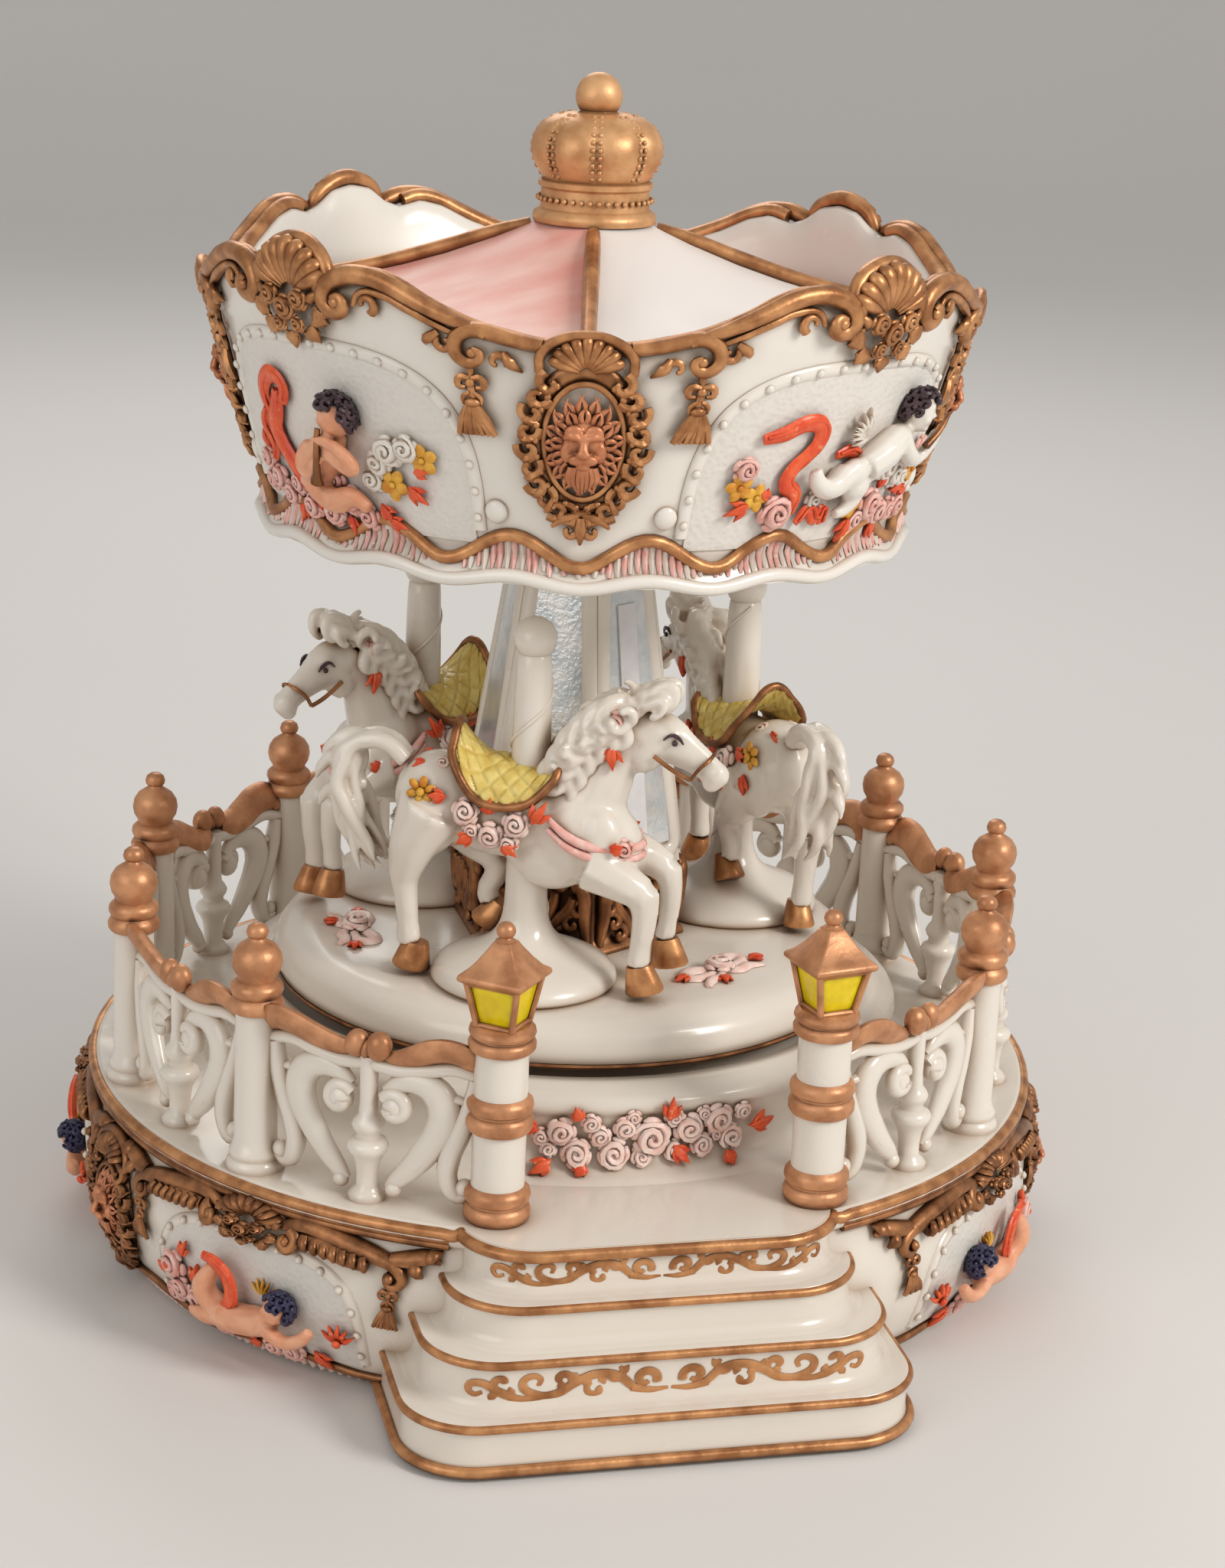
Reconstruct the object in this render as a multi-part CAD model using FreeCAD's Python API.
"""Wind-up carousel music box, about 197 mm tall, as an assembly of separate pieces.

Millimetres, +Z up. The origin is the middle of the whole footprint, at the level the box
stands on, and the stairs point along -Y. Every piece is built about the carousel's axis and
is set back to its place as it is saved. A bearing is an angle about that axis, counted from
the stairs towards +X.
"""
import FreeCAD, Part
import math
import os

V = FreeCAD.Vector
ORIGIN = V(0, 0, 0)
UP = V(0, 0, 1)

# ---- driving dimensions -------------------------------------------------------------
TOTAL_HEIGHT = 197.0
RIM_RADIUS = 80.0            # deck edge, without its bead
DECK_TOP = 31.0
DECK_THICKNESS = 3.5
CASTING_FOOT = 0.5           # the casting stands this high on its felt pads
STEP_COUNT = 4
STEP_TOPS = (9.0, 17.1, 23.9, DECK_TOP)
STEP_FRONTS = (94.6, 90.6, 86.8, 83.0)
STEP_HALF_WIDTHS = (39.5, 35.8, 31.5, 29.0)
STEP_CORNER = 11.0
STAIR_CENTRE = -2.2          # the stairs stand a little to the left of the lanterns' middle
SKIRT_BULGE = 82.2
SKIRT_FOOT = 77.0
MASK_REACH = 84.5            # noses of the lion masks on the skirt
AXIS_SETBACK = (STEP_FRONTS[0] - MASK_REACH) / 2

PLATE_RADIUS = 67.8          # recessed bottom plate
PLATE_BOTTOM = 13.0
LEDGE_Z = 15.5
RECESS_RADIUS = 68.0
CAVITY_RADIUS = 62.0

COLLAR_RADIUS = 57.8
COLLAR_TOP = 44.5
COLLAR_LIP = 54.0
COLLAR_CAVITY = 52.0
BRIDGE_BOTTOM = 38.5         # plate across the collar that carries the shaft bush
BRIDGE_TOP = 41.5

FENCE_RADIUS = 75.5
LANTERN_RADIUS = 75.0
LANTERN_BEARING = 19.8
LANTERN_YAWS = {"left": -38.0, "right": 12.5}
PANELS_PER_SIDE = 5
PANEL_SPAN = (180.0 - LANTERN_BEARING) / PANELS_PER_SIDE
POST_TOP = 57.7
FINIAL_TOP = 71.4

DISC_RADIUS = 50.5
DISC_BOTTOM = 45.0
DISC_TOP = 53.5
SHAFT_RADIUS = 2.5
RUNNING_GAP = 0.05

COLUMN_BEARING = 1.0         # one corner of the six-sided column
COLUMN_BASE_TOP = 66.5
COLUMN_FOOT_RADIUS = 19.8
COLUMN_HEAD_RADIUS = 10.4

HORSE_CIRCLE = 31.0
HORSE_BEARINGS = (-25.4, 98.6, 226.6)
HORSE_TURNS = (0.0, 4.0, -16.0)    # how far each horse is turned on its own pole
POLE_KNOB_Z = 111.0
POLE_KNOB_RADIUS = 3.5

CANOPY_BEARING = -13.3       # first lion medallion; the canopy repeats every quarter turn
CANOPY_HEM = 125.0
CEILING_Z = 126.5
CREST_Z = 173.5
WALL_THICKNESS = 3.0
CROWN_FOOT = 173.3
CROWN_BALL = 3.75

# music movement
BED_BOTTOM = LEDGE_Z
BED_TOP = 17.5
ARBOR_RADIUS = 1.5
BARREL_RADIUS = 12.5
BARREL_BOTTOM = 18.0
BARREL_TOP = 33.0
CYLINDER_Z = 27.0            # height of the pinned cylinder's axis
CROWN_TEETH = 48
CROWN_ROOT_Z = 21.2
PINION_TEETH = 16
PINION_MODULE = 0.625
WHEEL_TEETH = 32
GOVERNOR_PINION_TEETH = 8
WORM_WHEEL_TEETH = 16
FINE_MODULE = 0.5
GOVERNOR_Y = -FINE_MODULE * (WHEEL_TEETH + GOVERNOR_PINION_TEETH) / 2
WORM_PITCH_RADIUS = 1.6
WORM_X = 38.2
WORM_Y = GOVERNOR_Y - FINE_MODULE * WORM_WHEEL_TEETH / 2 - WORM_PITCH_RADIUS
COMB_NOTES = 18


# ---- helpers ------------------------------------------------------------------------
def save(node, *solids):
    shape = solids[0] if len(solids) == 1 else Part.makeCompound(list(solids))
    moved(shape, y=AXIS_SETBACK).exportStep("parts/%s.step" % node)


def join(solids):
    return solids[0].multiFuse(list(solids[1:])).removeSplitter()


def outline(*legs):
    """Closed face in the XZ plane. A leg is a point (x, z) or a pair (point on an arc, end)."""
    corner = V(legs[0][0], 0, legs[0][1])
    here = corner
    edges = []
    for leg in legs[1:]:
        if isinstance(leg[0], tuple):
            middle = V(leg[0][0], 0, leg[0][1])
            end = V(leg[1][0], 0, leg[1][1])
            edges.append(Part.Arc(here, middle, end).toShape())
        else:
            end = V(leg[0], 0, leg[1])
            edges.append(Part.makeLine(here, end))
        here = end
    edges.append(Part.makeLine(here, corner))
    return Part.Face(Part.Wire(edges))


def turned(*legs):
    return outline(*legs).revolve(ORIGIN, UP, 360)


def slab(x0, x1, y0, y1, z0, z1):
    return Part.makeBox(x1 - x0, y1 - y0, z1 - z0, V(x0, y0, z0))


def rod(radius, z0, z1, x=0.0, y=0.0):
    return Part.makeCylinder(radius, z1 - z0, V(x, y, z0), UP)


def axle(radius, x0, x1, y, z):
    return Part.makeCylinder(radius, x1 - x0, V(x0, y, z), V(1, 0, 0))


def at_bearing(shape, bearing):
    copy = shape.copy()
    copy.rotate(ORIGIN, UP, bearing)
    return copy


def moved(shape, x=0.0, y=0.0, z=0.0):
    copy = shape.copy()
    copy.translate(V(x, y, z))
    return copy


def ring_place(shape, radius, bearing):
    """Put a shape that was built on the Z axis, facing -Y, on a circle about the axis."""
    return at_bearing(moved(shape, y=-radius), bearing)


def limb(start, end, radius_start, radius_end):
    """A tapered bar with round ends."""
    a = V(*start)
    b = V(*end)
    way = b - a
    parts = [Part.makeSphere(radius_start, a), Part.makeSphere(radius_end, b)]
    if abs(radius_start - radius_end) < 0.01:
        parts.append(Part.makeCylinder(radius_start, way.Length, a, way))
    else:
        parts.append(Part.makeCone(radius_start, radius_end, way.Length, a, way))
    return join(parts)


def prism(corners, direction):
    points = [V(*corner) for corner in corners]
    return Part.Face(Part.makePolygon(points + points[:1])).extrude(direction)


# ---- base ---------------------------------------------------------------------------
def step_slab(level, bottom, top):
    """One stair level, with round front corners, running back under the deck."""
    half = STEP_HALF_WIDTHS[level]
    front = -STEP_FRONTS[level]
    back = -50.0
    corner = front + STEP_CORNER
    turn = STEP_CORNER * (1 - math.sqrt(0.5))

    def mirrored_pair(x, y):
        return [V(STAIR_CENTRE - x, y, bottom), V(STAIR_CENTRE + x, y, bottom)]

    back_left, back_right = mirrored_pair(half, back)
    left, right = mirrored_pair(half, corner)
    left_arc, right_arc = mirrored_pair(half - turn, front + turn)
    front_left, front_right = mirrored_pair(half - STEP_CORNER, front)
    edges = [
        Part.makeLine(back_left, left),
        Part.Arc(left, left_arc, front_left).toShape(),
        Part.makeLine(front_left, front_right),
        Part.Arc(front_right, right_arc, right).toShape(),
        Part.makeLine(right, back_right),
        Part.makeLine(back_right, back_left),
    ]
    return Part.Face(Part.Wire(edges)).extrude(UP * (top - bottom))


def skirt_body():
    """The bowl-shaped outside of the base, filled."""
    top = DECK_TOP - DECK_THICKNESS
    return turned((0, top), (RIM_RADIUS, top), ((SKIRT_BULGE, top / 2), (SKIRT_FOOT, CASTING_FOOT)),
                  (0, CASTING_FOOT))


def on_circle(radius, bearings):
    """Places at some bearings on a circle about the axis."""
    return [(radius * math.sin(math.radians(b)), -radius * math.cos(math.radians(b))) for b in bearings]


PAD_PLACES = on_circle(72.6, (55, 135, 225, 305)) + [(STAIR_CENTRE, -86.0)]
PLATE_SCREW_PLACES = on_circle(65.0, (45, 135, 225, 315))
BED_SCREW_PLACES = [(-16.0, -18.0), (-16.0, 22.0), (42.0, 14.0)]


def base_casting():
    deck_bottom = DECK_TOP - DECK_THICKNESS
    solids = [skirt_body()]
    for level in range(STEP_COUNT):
        bottom = CASTING_FOOT if level == 0 else STEP_TOPS[level - 1]
        top = min(STEP_TOPS[level], deck_bottom)
        solids.append(step_slab(level, bottom, top))
    body = join(solids)
    hollows = [rod(RECESS_RADIUS, 0, LEDGE_Z), rod(CAVITY_RADIUS, LEDGE_Z, DECK_TOP)]
    hollows += [rod(3.0, 0, 1.5, x, y) for x, y in PAD_PLACES]
    hollows += [rod(1.4, LEDGE_Z, 22.0, x, y) for x, y in PLATE_SCREW_PLACES]
    return body.cut(hollows)


def deck_plate():
    bottom = DECK_TOP - DECK_THICKNESS
    disc = turned((0, bottom), (RIM_RADIUS, bottom),
                  ((RIM_RADIUS + 1.5, (bottom + DECK_TOP) / 2), (RIM_RADIUS, DECK_TOP)), (0, DECK_TOP))
    platform = step_slab(STEP_COUNT - 1, bottom, DECK_TOP)
    return join([disc, platform]).cut(rod(COLLAR_CAVITY, bottom - 1, DECK_TOP + 1))


def collar_ring():
    return turned((SHAFT_RADIUS + 2.0, BRIDGE_BOTTOM), (COLLAR_CAVITY, BRIDGE_BOTTOM),
                  (COLLAR_CAVITY, DECK_TOP),
                  (COLLAR_RADIUS + 2.2, DECK_TOP), ((COLLAR_RADIUS + 0.5, 31.8), (COLLAR_RADIUS, 33.6)),
                  (COLLAR_RADIUS, 40.4), ((COLLAR_RADIUS + 1.0, 41.4), (COLLAR_RADIUS, 42.4)),
                  (COLLAR_LIP + 1.0, COLLAR_TOP), (COLLAR_LIP, COLLAR_TOP), (COLLAR_LIP, BRIDGE_TOP),
                  (SHAFT_RADIUS + 2.0, BRIDGE_TOP))


def fence_post():
    return turned((0, DECK_TOP), (4.5, DECK_TOP), (4.5, 32.3), ((3.9, 33.0), (4.3, 34.0)), (3.5, 35.2),
                  (3.3, POST_TOP), (0, POST_TOP))


def fence_finial():
    bulb = turned((0, POST_TOP), (4.2, POST_TOP), (4.2, 59.2), (3.6, 59.8), (4.1, 60.6), (3.9, 61.8), (2.9, 62.4),
                  ((4.0, 65.2), (1.4, 69.0)), (0, 69.0))
    return join([bulb, Part.makeSphere(1.7, V(0, 0, FINIAL_TOP - 1.7))])


def scroll_arc(cx, cz, radius, width, start, end, depth):
    """Part of a flat ring, standing in the XZ plane, from one angle to another."""
    rims = []
    for r in (radius + width / 2, radius - width / 2):
        rims.append([V(cx + r * math.cos(math.radians(a)), -depth / 2, cz + r * math.sin(math.radians(a)))
                     for a in (start, (start + end) / 2, end)])
    outer, inner = rims
    edges = [Part.Arc(*outer).toShape(), Part.makeLine(outer[2], inner[2]),
             Part.Arc(inner[2], inner[1], inner[0]).toShape(), Part.makeLine(inner[0], outer[0])]
    return Part.Face(Part.Wire(edges)).extrude(V(0, depth, 0))


def fence_panel():
    """One length of openwork: a baluster, an S-scroll each side of it and a ribbon rail on top."""
    depth = 3.0
    reach = 15.6
    pieces = [rod(2.6, DECK_TOP, 37.0), rod(1.7, 37.0, 53.5), rod(2.5, 42.0, 44.5)]
    pieces.append(slab(-reach, reach, -depth / 2, depth / 2, 52.5, 56.0))
    pieces.append(slab(-3.2, 3.2, -2.2, 2.2, 52.5, 58.7))
    for side in (-1, 1):
        for cx, cz, start, end in ((8.2, 37.5, -120, 120), (8.2, 47.9, 60, 300)):
            arc = scroll_arc(cx, cz, 5.2, 2.2, start, end, depth)
            pieces.append(arc if side > 0 else arc.mirror(ORIGIN, V(1, 0, 0)))
        pieces.append(slab(side * 15.0 - 0.9, side * 15.0 + 0.9, -1.2, 1.2, DECK_TOP, 53.0))
        pieces.append(slab(min(side * 15, 0), max(side * 15, 0), -1.2, 1.2, DECK_TOP, 32.4))
    return join(pieces)


def lantern_post():
    return turned((0, DECK_TOP), (4.9, DECK_TOP), (4.9, 33.5), (4.5, 34.0), (4.9, 35.0), (4.9, 36.0), (4.2, 36.5),
                  (4.2, 45.7), (4.9, 46.2), (4.9, 48.2), (4.5, 48.6), (4.9, 49.2), (4.9, 50.6), (4.2, 51.2),
                  (4.2, 58.6), (4.9, 59.1), (4.9, 61.7), (4.4, 62.4), (0, 62.4))


def frustum(half_low, half_high, z0, z1):
    rings = []
    for half, z in ((half_low, z0), (half_high, z1)):
        corners = [V(-half, -half, z), V(half, -half, z), V(half, half, z), V(-half, half, z)]
        rings.append(Part.makePolygon(corners + corners[:1]))
    return Part.makeLoft(rings, True, True)


def lantern_panes():
    return frustum(3.0, 4.3, 62.4, 69.8)


def lantern_roof():
    roof = frustum(5.0, 1.2, 70.4, 75.6)
    eaves = slab(-5.0, 5.0, -5.0, 5.0, 69.8, 70.4)
    ball = Part.makeSphere(1.35, V(0, 0, 77.35))
    return join([eaves, roof, rod(0.9, 75.0, 77.0), ball])


def medallion(half_width, half_height, centre, normal, depth, nose_radius, nose_reach, core):
    """An oval badge with a domed mask, fitted to the round wall behind it."""
    axis = V(*normal)
    axis.normalize()
    start = V(*centre) - axis * 8.0
    disc = Part.Face(Part.Wire(Part.makeCircle(1.0, ORIGIN, UP))).extrude(UP * (8.0 + depth))
    stretch = FreeCAD.Matrix()
    stretch.scale(half_width, half_height, 1.0)
    oval = disc.transformGeometry(stretch)
    place = FreeCAD.Placement(start, FreeCAD.Rotation(V(1, 0, 0), axis.cross(V(1, 0, 0)) * -1, axis, "ZXY"))
    oval.Placement = place
    nose = Part.makeSphere(nose_radius, V(*centre) + axis * (nose_reach - nose_radius))
    return oval.fuse(nose).cut(core)


def skirt_medallions():
    face = 81.4
    badge = medallion(9.5, 12.2, (0, -face, 15.0), (0, -1, 0), 1.6, 5.0, MASK_REACH - face, skirt_body())
    return [at_bearing(badge, bearing) for bearing in (-127.3, -74.7, 74.7, 127.3, 180.0)]


# ---- underside ----------------------------------------------------------------------
def bottom_plate():
    holes = [rod(ARBOR_RADIUS + 0.08, 0, 20)]
    holes += [rod(1.4, 0, 20, x, y) for x, y in PLATE_SCREW_PLACES]
    holes += [rod(1.2, 0, 20, x, y) for x, y in BED_SCREW_PLACES]
    return rod(PLATE_RADIUS, PLATE_BOTTOM, LEDGE_Z).cut(holes)


def screw(x, y, head_radius, head_z, head_height, shank_radius, shank_end):
    """A screw driven upwards, with its head below head_z and a cross cut in the head."""
    head = rod(head_radius, head_z - head_height, head_z, x, y)
    low = head_z - head_height
    slot = head_radius * 0.6
    cross = [slab(x - slot, x + slot, y - 0.2, y + 0.2, low - 1, low + 0.5),
             slab(x - 0.2, x + 0.2, y - slot, y + slot, low - 1, low + 0.5)]
    return head.fuse(rod(shank_radius, head_z, shank_end, x, y)).cut(cross)


def winding_key():
    """Butterfly key and its winding arbor, in one piece as they are screwed together."""
    hub = rod(2.8, 7.5, 12.2)
    wings = []
    for side in (-1, 1):
        eye = Part.makeCylinder(4.6, 1.8, V(side * 8.0, -0.9, 7.0), V(0, 1, 0))
        hole = Part.makeCylinder(2.2, 4.0, V(side * 8.0, -2.0, 7.0), V(0, 1, 0))
        wings.append(eye.cut(hole))
    web = slab(-4.2, 4.2, -0.9, 0.9, 4.6, 9.6)
    arbor = rod(ARBOR_RADIUS, 9.0, 31.0)
    hook = slab(0, 2.1, -0.5, 0.5, 25.0, 27.0)
    return join([hub, web, arbor, hook] + wings)


# ---- music movement -----------------------------------------------------------------
def bedplate():
    plate = slab(-21, 47, -24, 29, BED_BOTTOM, BED_TOP)
    comb_block = slab(18, 36, 17, 27, BED_TOP, 26.6)
    holes = [rod(ARBOR_RADIUS + 0.08, 0, 20), rod(1.0, 22, 27, 22, 22), rod(1.0, 22, 27, 32, 22)]
    holes += [rod(1.2, 0, 17, x, y) for x, y in BED_SCREW_PLACES]
    return join([plate, comb_block]).cut(holes)


def spring_barrel():
    """Drum for the mainspring, with a ring of upright teeth on its flange."""
    cup = turned((ARBOR_RADIUS + 0.08, BARREL_BOTTOM), (BARREL_RADIUS, BARREL_BOTTOM), (BARREL_RADIUS, 19.7),
                 (16.8, 19.7), (16.8, CROWN_ROOT_Z), (BARREL_RADIUS, CROWN_ROOT_Z), (BARREL_RADIUS, BARREL_TOP),
                 (BARREL_RADIUS - 0.8, BARREL_TOP), (BARREL_RADIUS - 0.8, 19.0), (ARBOR_RADIUS + 0.08, 19.0))
    tooth = prism([(13.4, -0.50, CROWN_ROOT_Z - 0.3), (13.4, 0.50, CROWN_ROOT_Z - 0.3), (13.4, 0.16, 22.45),
                   (13.4, -0.16, 22.45)], V(3.2, 0, 0))
    # a gap, not a tooth, lies under the pinion at rest
    teeth = [at_bearing(tooth, (k + 0.5) * 360.0 / CROWN_TEETH) for k in range(CROWN_TEETH)]
    return join([cup] + teeth)


def mainspring():
    """A flat spiral of half turns about two centres."""
    pitch = 1.35
    thickness = 0.35
    first = 3.2
    edges = []
    inner = []
    side = 1
    radius = first
    centre = 0.0
    for _ in range(11):
        for rim, r in ((edges, radius + thickness), (inner, radius)):
            start = V(centre + side * r, 0, 20.0)
            middle = V(centre, side * r, 20.0)
            end = V(centre - side * r, 0, 20.0)
            rim.append(Part.Arc(start, middle, end).toShape())
        centre += side * pitch / 2
        radius += pitch / 2
        side = -side
    tip = edges[-1].Vertexes[-1].Point
    inner_tip = inner[-1].Vertexes[-1].Point
    root = edges[0].Vertexes[0].Point
    inner_root = inner[0].Vertexes[0].Point
    loop = edges + [Part.makeLine(tip, inner_tip)] + inner[::-1] + [Part.makeLine(inner_root, root)]
    return Part.Face(Part.Wire(Part.__sortEdges__(loop))).extrude(UP * 11.5)


def spur_gear(teeth, module, x0, x1, y, z, phase):
    """Straight gear on an axle along X; phase turns its first tooth from the +Y direction."""
    pitch_radius = module * teeth / 2
    root = pitch_radius - 1.2 * module
    tip = pitch_radius + 0.85 * module
    half_root = 0.62 * module
    half_tip = 0.22 * module
    points = []
    for k in range(teeth):
        angle = math.radians(phase + k * 360.0 / teeth)
        for radius, half in ((root, -half_root), (tip, -half_tip), (tip, half_tip), (root, half_root)):
            turn = angle + math.asin(half / radius)
            points.append(V(x0, y + radius * math.cos(turn), z + radius * math.sin(turn)))
    return Part.Face(Part.makePolygon(points + points[:1])).extrude(V(x1 - x0, 0, 0))


def pin_cylinder():
    """Brass drum with its tune pins, on an arbor that runs in the two bearings."""
    drum = axle(6.5, 19.2, 35.2, 0, CYLINDER_Z)
    arbor = axle(1.0, 13.3, 44.8, 0, CYLINDER_Z)
    pins = []
    for note in range(COMB_NOTES):
        x = 19.9 + note * 14.6 / (COMB_NOTES - 1)
        for beat in range(3):
            angle = math.radians(15.0 + 100.0 * note + 127.0 * beat + 11.0 * (note % 4))
            out = V(0, math.cos(angle), math.sin(angle))
            pins.append(Part.makeCylinder(0.18, 1.0, V(x, 0, CYLINDER_Z) + out * 6.0, out))
    return join([drum, arbor] + pins)


def comb():
    plate = slab(18.8, 35.6, 7.3, 26.0, 26.6, 27.5)
    cuts = []
    pitch = 16.8 / COMB_NOTES
    for gap in range(1, COMB_NOTES):
        x = 18.8 + gap * pitch
        cuts.append(slab(x - 0.12, x + 0.12, 7.0, 16.5, 26, 28))
    cuts += [rod(1.05, 26, 28, x, 22) for x in (22, 32)]
    return plate.cut(cuts)


def comb_screw(x):
    head = rod(1.9, 27.5, 28.8, x, 22)
    slot = slab(x - 2.2, x + 2.2, 21.75, 22.25, 28.3, 29.5)
    return head.fuse(rod(1.0, 22.0, 27.5, x, 22)).cut(slot)


def cylinder_bearings():
    """Two upright plates; the outer one also holds the governor's arbor."""
    inner = slab(17.0, 18.2, -3.5, 3.5, BED_TOP, 31.0).cut(axle(1.0 + RUNNING_GAP, 16, 19, 0, CYLINDER_Z))
    outer = slab(43.6, 44.8, -13.0, 3.5, BED_TOP, 31.0)
    outer = outer.cut([axle(1.0 + RUNNING_GAP, 43, 46, 0, CYLINDER_Z),
                       axle(0.6 + RUNNING_GAP, 43, 46, GOVERNOR_Y, CYLINDER_Z)])
    return [inner, outer]


def governor_frame():
    foot = slab(35.6, 39.8, -22.5, -8.0, BED_TOP, 19.0)
    upright = slab(35.6, 36.4, -13.0, -8.0, 19.0, 31.0)
    post = slab(36.7, 39.7, -22.5, -21.0, 19.0, 38.0)
    arm = slab(36.7, 39.7, -22.5, -13.5, 37.0, 38.0)
    holes = [axle(0.6 + RUNNING_GAP, 35, 37, GOVERNOR_Y, CYLINDER_Z),
             rod(0.5 + RUNNING_GAP, 18.0, 19.5, WORM_X, WORM_Y),
             rod(0.5 + RUNNING_GAP, 36.5, 38.5, WORM_X, WORM_Y)]
    return join([foot, upright, post, arm]).cut(holes)


def governor_wheel():
    pinion = spur_gear(GOVERNOR_PINION_TEETH, FINE_MODULE, 40.8, 42.4, GOVERNOR_Y, CYLINDER_Z, 0.0)
    worm_wheel = spur_gear(WORM_WHEEL_TEETH, FINE_MODULE, WORM_X - 0.6, WORM_X + 0.6, GOVERNOR_Y, CYLINDER_Z, 180.0)
    return join([axle(0.6, 35.6, 44.8, GOVERNOR_Y, CYLINDER_Z), worm_wheel, pinion])


def governor_fan():
    """Worm and air brake on one upright arbor."""
    pitch = math.pi * FINE_MODULE
    worm_foot = CYLINDER_Z - 3 * pitch + 0.25 * pitch
    helix = Part.makeHelix(pitch, 5 * pitch, WORM_PITCH_RADIUS)
    section = Part.makePolygon([V(0.95, 0, -0.42), V(2.0, 0, -0.12), V(2.0, 0, 0.12), V(0.95, 0, 0.42),
                                V(0.95, 0, -0.42)])
    thread = Part.Wire(helix).makePipeShell([section], True, True)
    thread.translate(V(WORM_X, WORM_Y, worm_foot))
    arbor = rod(0.5, 18.1, 38.0, WORM_X, WORM_Y)
    core = rod(1.05, 22.0, 31.5, WORM_X, WORM_Y)
    vane = slab(WORM_X - 4.5, WORM_X + 4.5, WORM_Y - 0.2, WORM_Y + 0.2, 32.0, 36.2)
    return join([arbor, core, vane, thread])


# ---- carousel -----------------------------------------------------------------------
def turntable_disc():
    edge = (DISC_BOTTOM + DISC_TOP) / 2
    disc = turned((0, DISC_BOTTOM), (DISC_RADIUS - 2.0, DISC_BOTTOM),
                  ((DISC_RADIUS, edge - 0.8), (DISC_RADIUS - 4.0, DISC_TOP - 0.6)), (DISC_RADIUS - 9.0, DISC_TOP),
                  (0, DISC_TOP))
    return disc.cut(rod(SHAFT_RADIUS, 40, 52))


def hexagon(radius, z, bearing):
    corners = []
    for k in range(6):
        angle = math.radians(bearing + 60 * k)
        corners.append(V(radius * math.sin(angle), -radius * math.cos(angle), z))
    return corners


def hex_body(radius_low, radius_high, z0, z1):
    wires = []
    for radius, z in ((radius_low, z0), (radius_high, z1)):
        corners = hexagon(radius, z, COLUMN_BEARING)
        wires.append(Part.makePolygon(corners + corners[:1]))
    return Part.makeLoft(wires, True, True)


def column_radius(z):
    share = (z - COLUMN_BASE_TOP) / (CEILING_Z - COLUMN_BASE_TOP)
    return COLUMN_FOOT_RADIUS + share * (COLUMN_HEAD_RADIUS - COLUMN_FOOT_RADIUS)


def mirror_panel(face):
    """A thin inset plate, narrower than its face of the column."""
    low = 70.5
    high = 122.0
    corners = []
    for z, ends in ((low, (0.13, 0.87)), (high, (0.87, 0.13))):
        ring = hexagon(column_radius(z), z, COLUMN_BEARING)
        a = ring[face]
        b = ring[(face + 1) % 6]
        corners += [a + (b - a) * share for share in ends]
    face_normal = (corners[1] - corners[0]).cross(corners[3] - corners[0])
    face_normal.normalize()
    if face_normal.dot(V(corners[0].x, corners[0].y, 0)) < 0:
        face_normal = face_normal * -1
    plate = Part.Face(Part.makePolygon(corners + corners[:1])).extrude(face_normal * 0.6)
    return plate, corners, face_normal


def film_tab():
    """Loose end of the clear protective film on one mirror, with no print."""
    _, corners, normal = mirror_panel(0)
    low_left, low_right, high_right, high_left = corners
    axis_low = low_left + (low_right - low_left) * 0.46
    axis_high = high_left + (high_right - high_left) * 0.46
    way = axis_high - axis_low
    across = (low_right - low_left).normalize() * 2.2
    foot = axis_low + way * 0.04 + normal * 0.6
    head = axis_low + way * 0.80 + normal * 0.6
    loop = [foot - across, foot + across, head + across * 0.9, head - across * 0.9]
    return Part.Face(Part.makePolygon(loop + loop[:1])).extrude(normal * 0.35)


def horse_pole():
    """Low domed mound, tapering pole and ball knob."""
    pole = turned((0, DISC_TOP), (15.5, DISC_TOP), (14.8, 56.0), ((9.0, 59.0), (4.8, 61.6)), (3.5, 65.0),
                  (2.85, 109.0), (0, 109.0))
    return join([pole, Part.makeSphere(POLE_KNOB_RADIUS, V(0, 0, POLE_KNOB_Z))])


HORSE_LIMBS = (
    # start, end, radius at each
    ((-13.0, 0, 82.5), (11.0, 0, 82.5), 10.0, 10.0),
    ((13.0, 0, 85.0), (22.0, 0, 98.0), 7.5, 5.0),
    ((22.0, 0, 101.0), (30.8, 0, 95.0), 4.6, 2.6),
    ((21.0, 0, 102.0), (20.0, 0, 106.5), 3.2, 1.2),
    ((-20.0, 0, 86.0), (-27.5, 0, 80.0), 3.5, 4.0),
    ((-27.5, 0, 80.0), (-29.5, 0, 68.0), 4.0, 2.0),
    ((13.0, -4.5, 77.0), (23.0, -5.0, 73.5), 4.6, 2.8),
    ((23.0, -5.0, 73.5), (20.0, -5.0, 62.0), 2.6, 2.2),
    ((13.0, 4.5, 77.0), (25.0, 5.0, 76.5), 4.6, 2.8),
    ((25.0, 5.0, 76.5), (25.5, 5.0, 66.5), 2.6, 2.2),
    ((-14.0, -4.5, 78.0), (-18.5, -5.0, 70.0), 5.0, 2.8),
    ((-18.5, -5.0, 70.0), (-17.0, -5.0, 60.5), 2.6, 2.2),
    ((-14.0, 4.5, 78.0), (-12.0, 5.0, 71.0), 5.0, 2.8),
    ((-12.0, 5.0, 71.0), (-19.0, 5.0, 66.0), 2.6, 2.2),
)


def horse(pole):
    parts = [limb(*entry) for entry in HORSE_LIMBS]
    return join(parts).cut(pole)


WALL_OUTSIDE = ((54.0, 125.0), (52.0, 129.5), (54.0, 136.0), (58.0, 150.0), (62.5, 166.0), (62.5, CREST_Z))


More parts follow.
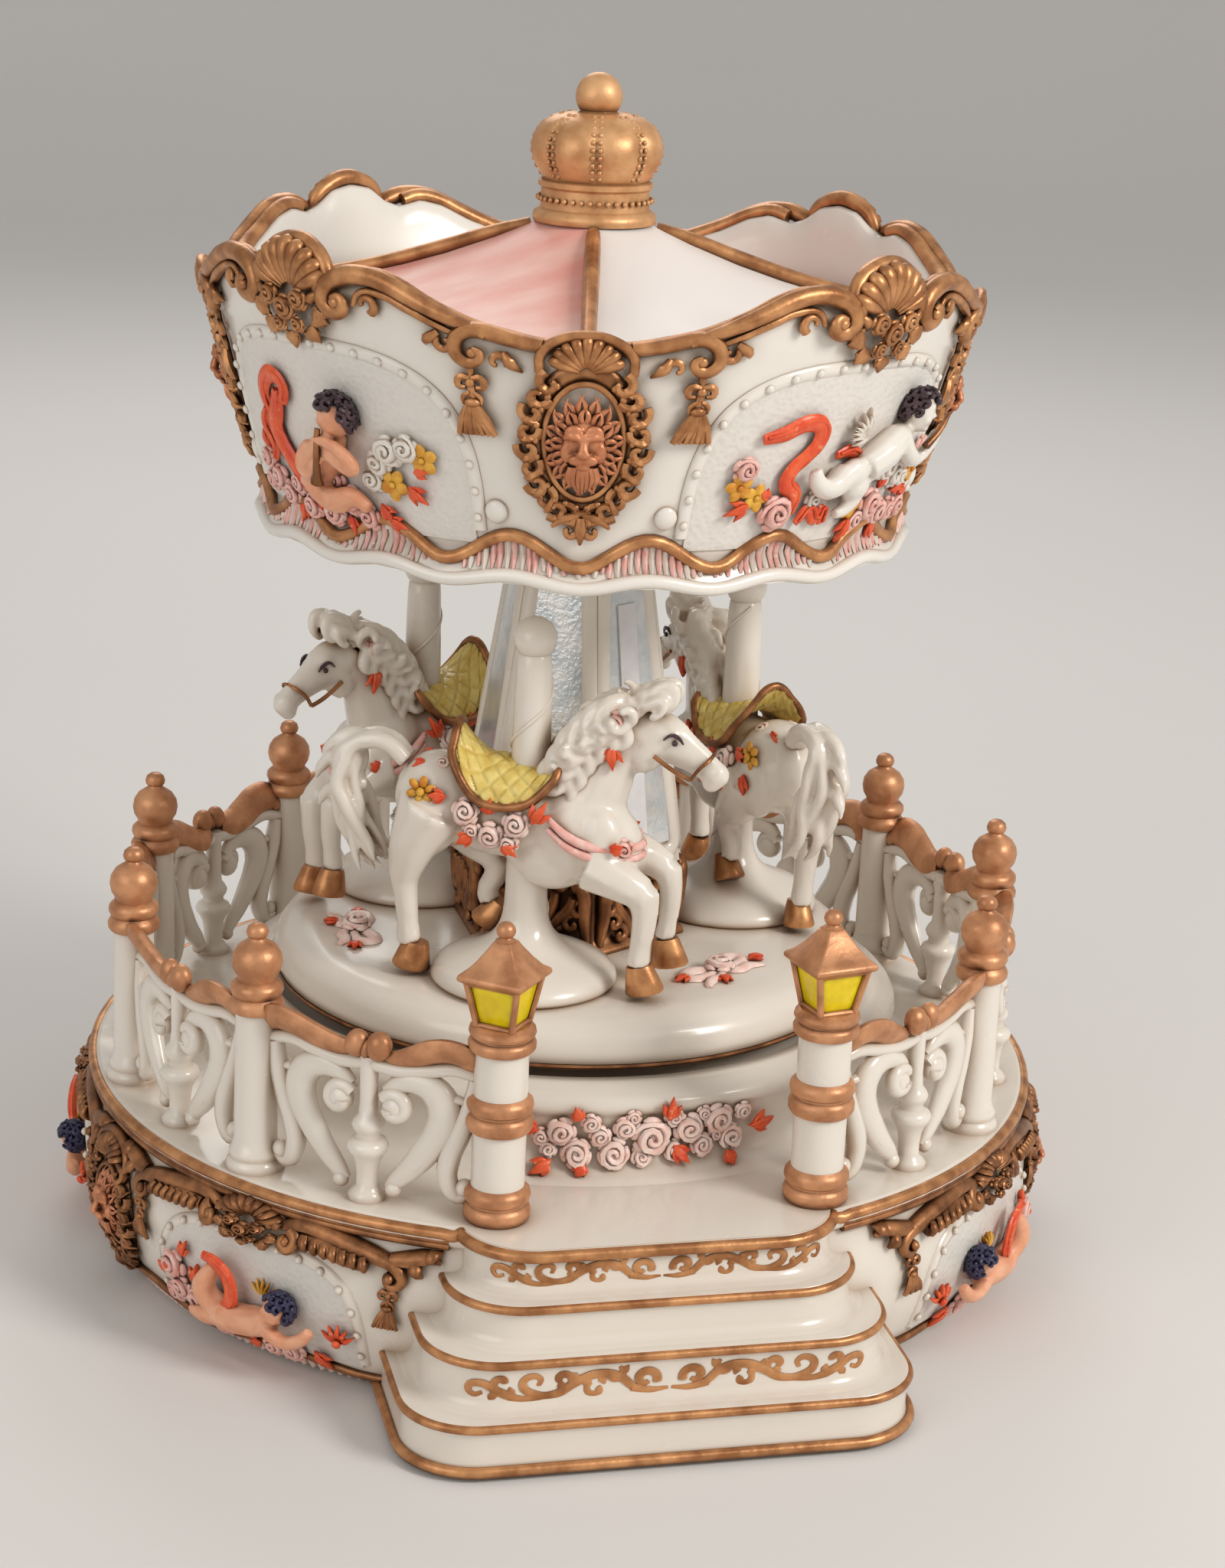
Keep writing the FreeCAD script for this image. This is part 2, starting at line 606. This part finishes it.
def canopy_core():
    """Everything inside the wall's outer face."""
    return turned((0, CANOPY_HEM), *WALL_OUTSIDE, (0, CREST_Z))


def wall_inside(z):
    for (r0, z0), (r1, z1) in zip(WALL_OUTSIDE, WALL_OUTSIDE[1:]):
        if z0 <= z <= z1:
            return r0 + (r1 - r0) * (z - z0) / (z1 - z0) - WALL_THICKNESS
    raise ValueError(z)


def canopy_wall():
    """Flared wall whose top edge dips at the four medallions."""
    inside = [(r - WALL_THICKNESS, z) for r, z in reversed(WALL_OUTSIDE)]
    wall = turned(*WALL_OUTSIDE, *inside)
    dips = []
    for side in range(4):
        dip = outline((-44.2, CREST_Z), ((-28.0, 168.2), (-17.0, 166.0)), ((0, 163.2), (17.0, 166.0)),
                      ((28.0, 168.2), (44.2, CREST_Z)), (44.2, 180.0), (-44.2, 180.0))
        dip = moved(dip, y=-35.0).extrude(V(0, -35.0, 0))
        dips.append(at_bearing(dip, CANOPY_BEARING + 90 * side))
    return wall.cut(dips)


def canopy_ceiling():
    top = 129.5
    return turned((0, CEILING_Z), (wall_inside(CEILING_Z), CEILING_Z), (wall_inside(top), top), (0, top))


ROOF_LINE = ((10.0, 173.0), (24.0, 167.4), (38.0, 163.4))
ROOF_EDGE_TOP = 160.0
ROOF_EDGE_BOTTOM = 158.0


def canopy_roof():
    """Hollow tent-shaped roof that rests inside the wall."""
    under = [(r, z - 2.4) for r, z in reversed(ROOF_LINE)]
    return turned((0, 173.3), (9.5, 173.3), *ROOF_LINE, (wall_inside(ROOF_EDGE_TOP), ROOF_EDGE_TOP),
                  (wall_inside(ROOF_EDGE_BOTTOM), ROOF_EDGE_BOTTOM), *under, (0, 170.6))


def roof_ridges():
    """Four bars from the crown down to the medallions."""
    crest = [(r, z + 1.0) for r, z in reversed(ROOF_LINE)]
    end = wall_inside(ROOF_EDGE_BOTTOM) - 0.3
    bar = outline((9.8, 172.0), (24.0, 165.5), (38.0, 161.5), (end, 158.5), (end, ROOF_EDGE_TOP + 1.0), *crest)
    bar = moved(bar, y=-1.1).extrude(V(0, 2.2, 0))
    bar.rotate(ORIGIN, UP, -90)
    bar = bar.cut([canopy_roof(), crown()])
    return [at_bearing(bar, CANOPY_BEARING + 90 * side) for side in range(4)]


def canopy_medallions():
    core = canopy_core()
    badge = medallion(10.0, 15.0, (0, -57.6, 148.5), (0, -1, -0.28), 2.2, 5.2, 5.6, core)
    return [at_bearing(badge, CANOPY_BEARING + 90 * side) for side in range(4)]


def crown():
    body = turned((0, CROWN_FOOT), (9.7, CROWN_FOOT), (9.7, 174.6), (8.9, 175.4), ((9.6, 176.9), (8.8, 178.4)),
                  (8.4, 179.6), ((11.0, 184.6), (3.2, 190.3)), (2.4, 191.0), (0, 191.0))
    return join([body, Part.makeSphere(CROWN_BALL, V(0, 0, TOTAL_HEIGHT - CROWN_BALL))])


# ---- write every piece --------------------------------------------------------------
def write_base():
    save("base_casting", base_casting())
    save("deck_plate", deck_plate())
    save("collar_ring", collar_ring())
    save("skirt_medallions", *skirt_medallions())
    post_bearings = [LANTERN_BEARING + PANEL_SPAN * k for k in range(1, 2 * PANELS_PER_SIDE)]
    save("fence_posts", *[ring_place(fence_post(), FENCE_RADIUS, b) for b in post_bearings])
    save("fence_finials", *[ring_place(fence_finial(), FENCE_RADIUS, b) for b in post_bearings])
    panel = fence_panel()
    for k in range(2 * PANELS_PER_SIDE):
        bearing = LANTERN_BEARING + PANEL_SPAN * (k + 0.5)
        save("fence_panel_%d" % (k + 1), ring_place(panel, FENCE_RADIUS - 1.0, bearing))
    for side, bearing in (("left", -LANTERN_BEARING), ("right", LANTERN_BEARING)):
        yaw = LANTERN_YAWS[side] - bearing
        save("lantern_post_" + side, ring_place(lantern_post(), LANTERN_RADIUS, bearing))
        save("lantern_panes_" + side, ring_place(at_bearing(lantern_panes(), yaw), LANTERN_RADIUS, bearing))
        save("lantern_roof_" + side, ring_place(at_bearing(lantern_roof(), yaw), LANTERN_RADIUS, bearing))


def write_underside():
    save("bottom_plate", bottom_plate())
    save("bottom_screws", *[screw(x, y, 2.8, PLATE_BOTTOM, 1.5, 1.4, 22.0) for x, y in PLATE_SCREW_PLACES])
    save("felt_pads", *[rod(3.0, 0, 1.5, x, y) for x, y in PAD_PLACES])
    save("winding_key", winding_key())


def write_movement():
    save("bedplate", bedplate())
    save("movement_screws", *[screw(x, y, 2.2, PLATE_BOTTOM, 1.2, 1.2, 17.0) for x, y in BED_SCREW_PLACES])
    save("comb", comb())
    save("comb_screws", comb_screw(22), comb_screw(32))
    save("cylinder_bearings", *cylinder_bearings())
    save("governor_frame", governor_frame())
    save("shaft_bush", turned((SHAFT_RADIUS + RUNNING_GAP, BRIDGE_BOTTOM), (SHAFT_RADIUS + 2.0, BRIDGE_BOTTOM),
                              (SHAFT_RADIUS + 2.0, BRIDGE_TOP), (6.5, BRIDGE_TOP), (6.5, 43.5),
                              (SHAFT_RADIUS + RUNNING_GAP, 43.5)))
    save("thrust_washer", rod(6.5, 43.5, DISC_BOTTOM).cut(rod(SHAFT_RADIUS + 0.1, 43, 46)))
    save("spring_barrel", spring_barrel())
    save("barrel_lid", rod(BARREL_RADIUS, BARREL_TOP, 34.2).cut(rod(SHAFT_RADIUS, 32, 36)))
    save("mainspring", mainspring())
    save("drive_shaft", rod(SHAFT_RADIUS, BARREL_TOP, 52.0))
    save("pin_cylinder", pin_cylinder())
    pinion = spur_gear(PINION_TEETH, PINION_MODULE, 13.6, 16.4, 0, CYLINDER_Z, -90.0)
    save("cylinder_pinion", pinion.cut(axle(1.0, 13, 17, 0, CYLINDER_Z)))
    mesh_gap = 180.0 / WHEEL_TEETH
    wheel = spur_gear(WHEEL_TEETH, FINE_MODULE, 41.0, 42.2, 0, CYLINDER_Z, 180.0 + mesh_gap)
    save("cylinder_wheel", wheel.cut(axle(1.0, 40, 43, 0, CYLINDER_Z)))
    save("governor_wheel", governor_wheel())
    save("governor_fan", governor_fan())


def write_carousel():
    save("turntable_disc", turntable_disc())
    save("column", hex_body(COLUMN_FOOT_RADIUS, COLUMN_HEAD_RADIUS, COLUMN_BASE_TOP, CEILING_Z))
    base = hex_body(21.2, 20.4, DISC_TOP, COLUMN_BASE_TOP)
    save("column_base", base)
    save("mirror_panels", *[mirror_panel(face)[0] for face in range(6)])
    save("film_tab", film_tab())
    pole = horse_pole()
    steed = horse(pole)
    for k, bearing in enumerate(HORSE_BEARINGS, 1):
        save("horse_pole_%d" % k, ring_place(pole, HORSE_CIRCLE, bearing).cut(base))
        facing = at_bearing(steed, HORSE_TURNS[k - 1])
        save("horse_%d" % k, ring_place(facing, HORSE_CIRCLE, bearing))
    save("canopy_wall", canopy_wall())
    save("canopy_ceiling", canopy_ceiling())
    save("canopy_roof", canopy_roof())
    save("roof_ridges", *roof_ridges())
    save("canopy_medallions", *canopy_medallions())
    save("crown", crown())


os.makedirs("parts", exist_ok=True)
write_base()
write_underside()
write_movement()
write_carousel()
